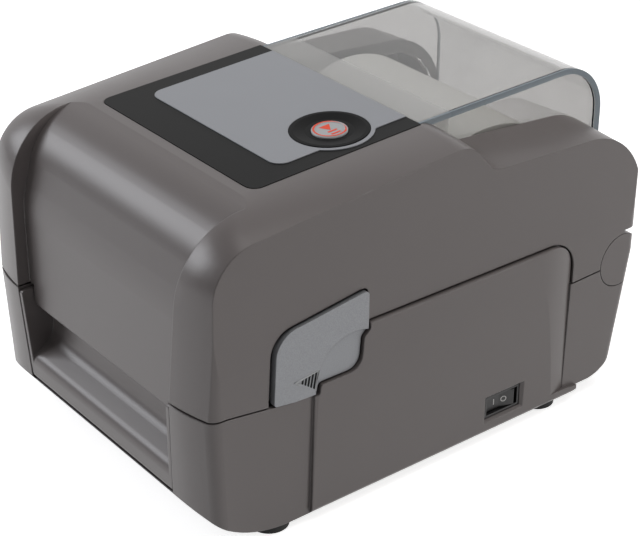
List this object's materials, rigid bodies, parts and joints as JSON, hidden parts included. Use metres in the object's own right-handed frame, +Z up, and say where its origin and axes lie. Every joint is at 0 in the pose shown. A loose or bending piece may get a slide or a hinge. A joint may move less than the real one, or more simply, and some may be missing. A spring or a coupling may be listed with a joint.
{
  "type": "label printer",
  "caption": "Desktop label printer with a hinged cover, clear roll window, release latches and a drop-down front door.",
  "frame": {"origin": "on the table under the middle of the printer's bounding box", "axes": "+X to the printer's right, +Y to its rear, +Z up"},
  "size_m": [0.198, 0.2795, 0.1777],
  "materials": {
    "case": "fine satin moulding",
    "clear": "clear, slightly smoked",
    "overlay": "satin printed film",
    "plate": "satin silver-grey film",
    "latch": "silver paint with a fine grain",
    "button": "satin, orange rim",
    "ring": "gloss black",
    "black": "fine texture",
    "inner": "plain dark moulding",
    "gear": "natural acetal",
    "rubber": "matt",
    "steel": "plain",
    "alu": "extruded",
    "motor": "black",
    "board": "solder mask",
    "socket": "tin plated",
    "paper": "label paper",
    "card": "wound card"
  },
  "bodies": {
    "base": {"base_shell": "case", "rubber_feet": "rubber", "case_screws": "steel", "hinge_cap_right": "case", "hinge_cap_left": "case", "hinge_brackets": "inner", "hinge_pins": "steel", "door_pins": "steel", "switch_housing": "black", "media_tray": "inner", "hub_rods": "steel", "pinion_stud": "steel", "print_frame": "steel", "drive_motor": "motor", "idler_stud": "steel", "platen_bushes": "gear", "tear_bar": "steel", "label_sensor": "black", "main_board": "board", "power_inlet": "black", "usb_socket": "socket", "network_socket": "socket", "serial_socket": "socket"},
    "cover": {"cover_shell": "case", "clear_window": "clear", "panel_overlay": "overlay", "panel_plate": "plate", "button_ring": "ring", "button_board": "board", "cover_frame": "inner", "latch_springs": "steel", "head_pivot": "steel", "head_springs": "steel"},
    "button": {"play_button": "button"},
    "right_latch": {"latch_right": "latch"},
    "left_latch": {"latch_left": "latch"},
    "door": {"front_door": "case"},
    "rocker": {"power_rocker": "black"},
    "head": {"head_carrier": "inner", "heat_sink": "alu", "print_head": "motor"},
    "right_hub": {"media_hub_right": "inner"},
    "left_hub": {"media_hub_left": "inner"},
    "pinion": {"hub_pinion": "gear"},
    "roll": {"label_roll": "paper", "roll_core": "card"},
    "platen": {"platen_shaft": "steel", "platen_roller": "rubber", "platen_gear": "gear"},
    "idler": {"idler_gear": "gear"},
    "motor": {"motor_pinion": "gear", "motor_shaft": "steel"}
  },
  "joints": [
    {"name": "cover_hinge", "type": "hinge", "parent": "base", "child": "cover", "pos_m": [0, 0.129, 0.0762], "axis": [-1, 0, 0], "range_deg": [0, 80]},
    {"name": "door_hinge", "type": "hinge", "parent": "base", "child": "door", "pos_m": [0, -0.1348, 0.0272], "axis": [1, 0, 0], "range_deg": [0, 75]},
    {"name": "power_switch", "type": "hinge", "parent": "base", "child": "rocker", "pos_m": [0.091, 0.0477, 0.019], "axis": [0, 0, 1], "range_deg": [0, 16]},
    {"name": "button_press", "type": "slide", "parent": "cover", "child": "button", "axis": [0, 0.0557, -0.9984], "range_m": [0, 0.001], "stiffness_N_per_m": 1200, "springref_m": -0.001},
    {"name": "right_latch_slide", "type": "slide", "parent": "cover", "child": "right_latch", "axis": [0, -1, 0], "range_m": [0, 0.0016], "stiffness_N_per_m": 800, "springref_m": -0.003, "deforming": ["latch_springs"]},
    {"name": "left_latch_slide", "type": "slide", "parent": "cover", "child": "left_latch", "axis": [0, -1, 0], "range_m": [0, 0.0016], "stiffness_N_per_m": 800, "springref_m": -0.003, "deforming": ["latch_springs"]},
    {"name": "head_pivot_hinge", "type": "hinge", "parent": "cover", "child": "head", "pos_m": [0, -0.084, 0.1], "axis": [-1, 0, 0], "range_deg": [0, 4], "stiffness_Nm_per_rad": 5, "springref_deg": -11.46, "deforming": ["head_springs"]},
    {"name": "right_hub_slide", "type": "slide", "parent": "base", "child": "right_hub", "axis": [1, 0, 0], "range_m": [0, 0.005], "stiffness_N_per_m": 300, "springref_m": -0.01},
    {"name": "left_hub_slide", "type": "slide", "parent": "base", "child": "left_hub", "axis": [-1, 0, 0], "range_m": [0, 0.005]},
    {"name": "hub_pinion_spin", "type": "hinge", "parent": "base", "child": "pinion", "pos_m": [0, 0.0665, 0.039], "axis": [0, 0, 1], "range_deg": [0, 44.2]},
    {"name": "roll_spin", "type": "hinge", "parent": "base", "child": "roll", "pos_m": [0, 0.0665, 0.1], "axis": [1, 0, 0], "continuous": true},
    {"name": "platen_spin", "type": "hinge", "parent": "base", "child": "platen", "pos_m": [0, -0.108, 0.06], "axis": [1, 0, 0], "continuous": true},
    {"name": "idler_spin", "type": "hinge", "parent": "base", "child": "idler", "pos_m": [0, -0.07981, 0.04974], "axis": [1, 0, 0], "continuous": true},
    {"name": "motor_spin", "type": "hinge", "parent": "base", "child": "motor", "pos_m": [0, -0.05617, 0.04557], "axis": [1, 0, 0], "continuous": true}
  ],
  "couplings": [
    {"joint": "idler_spin", "follows": "platen_spin", "ratio": -0.66667},
    {"joint": "motor_spin", "follows": "platen_spin", "ratio": 2},
    {"joint": "left_hub_slide", "follows": "right_hub_slide", "ratio": 1},
    {"joint": "hub_pinion_spin", "follows": "right_hub_slide", "rad_per_m": 153.85}
  ]
}
